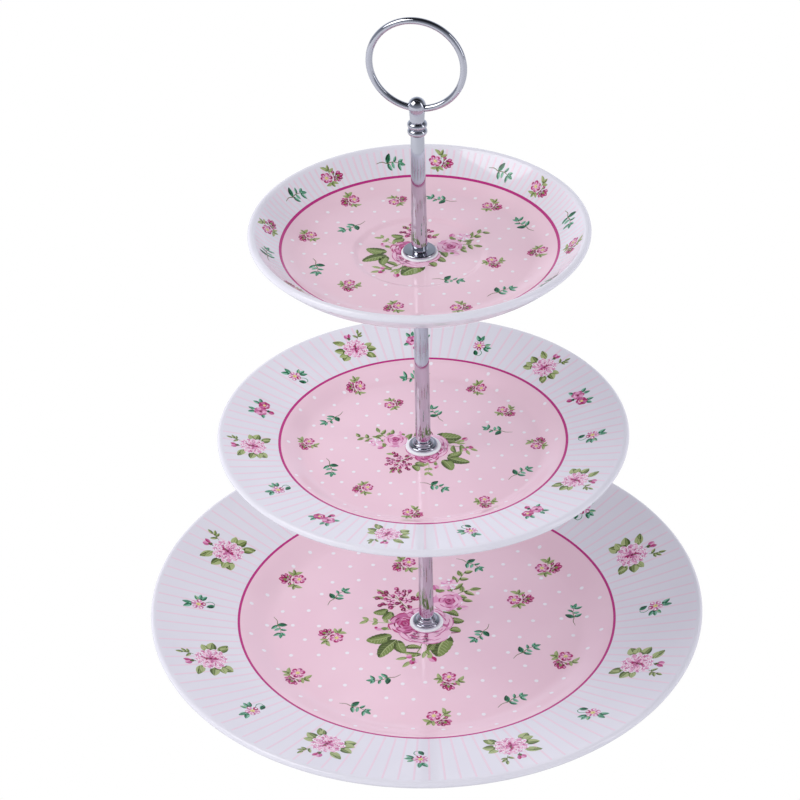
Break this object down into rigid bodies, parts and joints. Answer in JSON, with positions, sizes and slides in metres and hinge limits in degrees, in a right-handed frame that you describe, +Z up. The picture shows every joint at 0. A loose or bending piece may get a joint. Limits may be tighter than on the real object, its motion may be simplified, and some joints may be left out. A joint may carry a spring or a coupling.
{
  "type": "tiered cake stand",
  "caption": "Round porcelain plates of falling size on a screwed chrome centre post with a wire carrying ring, for serving cakes.",
  "frame": {"origin": "on the table, under the centre post's axis", "axes": "+Z up along the centre post; -Y is the front, and the carrying ring lies 13.8 degrees off the XZ plane"},
  "size_m": [0.27, 0.27, 0.3396],
  "materials": {
    "porcelain": "gloss glaze over printed decoration",
    "chrome": "polished",
    "steel": "bright zinc plate",
    "gasket": "satin"
  },
  "bodies": {
    "base": {"bottom_plate": "porcelain", "bottom_under_gasket": "gasket", "base_washer": "steel", "base_screw": "steel"},
    "lower_seat": {"bottom_top_gasket": "gasket"},
    "lower_rod": {"lower_foot": "chrome", "lower_post": "chrome", "middle_support_washer": "steel"},
    "middle_tier": {"middle_plate": "porcelain", "middle_under_gasket": "gasket"},
    "middle_seat": {"middle_top_gasket": "gasket"},
    "middle_rod": {"middle_foot": "chrome", "middle_stud": "steel", "middle_post": "chrome", "top_support_washer": "steel"},
    "top_tier": {"top_plate": "porcelain", "top_under_gasket": "gasket"},
    "top_seat": {"top_top_gasket": "gasket"},
    "handle_rod": {"upper_foot": "chrome", "upper_stud": "steel", "upper_post": "chrome", "finial_stud": "steel", "finial": "chrome", "ring_handle": "chrome"}
  },
  "joints": [
    {"name": "lower_post_unscrew", "type": "hinge", "parent": "base", "child": "lower_seat", "pos_m": [0, 0, 0.01], "axis": [0, 0, 1], "range_deg": [0, 3960]},
    {"name": "lower_post_rise", "type": "slide", "parent": "lower_seat", "child": "lower_rod", "axis": [0, 0, 1], "range_m": [0, 0.0077]},
    {"name": "middle_plate_turn", "type": "hinge", "parent": "lower_rod", "child": "middle_tier", "pos_m": [0, 0, 0.1165], "axis": [0, 0, 1], "continuous": true},
    {"name": "middle_post_unscrew", "type": "hinge", "parent": "lower_rod", "child": "middle_seat", "pos_m": [0, 0, 0.1165], "axis": [0, 0, 1], "range_deg": [0, 3960]},
    {"name": "middle_post_rise", "type": "slide", "parent": "middle_seat", "child": "middle_rod", "axis": [0, 0, 1], "range_m": [0, 0.0077]},
    {"name": "top_plate_turn", "type": "hinge", "parent": "middle_rod", "child": "top_tier", "pos_m": [0, 0, 0.223], "axis": [0, 0, 1], "continuous": true},
    {"name": "upper_post_unscrew", "type": "hinge", "parent": "middle_rod", "child": "top_seat", "pos_m": [0, 0, 0.223], "axis": [0, 0, 1], "range_deg": [0, 3960]},
    {"name": "upper_post_rise", "type": "slide", "parent": "top_seat", "child": "handle_rod", "axis": [0, 0, 1], "range_m": [0, 0.0077]}
  ],
  "couplings": [
    {"joint": "lower_post_unscrew", "follows": "lower_post_rise", "rad_per_m": 8975},
    {"joint": "middle_post_unscrew", "follows": "middle_post_rise", "rad_per_m": 8975},
    {"joint": "upper_post_unscrew", "follows": "upper_post_rise", "rad_per_m": 8975}
  ]
}
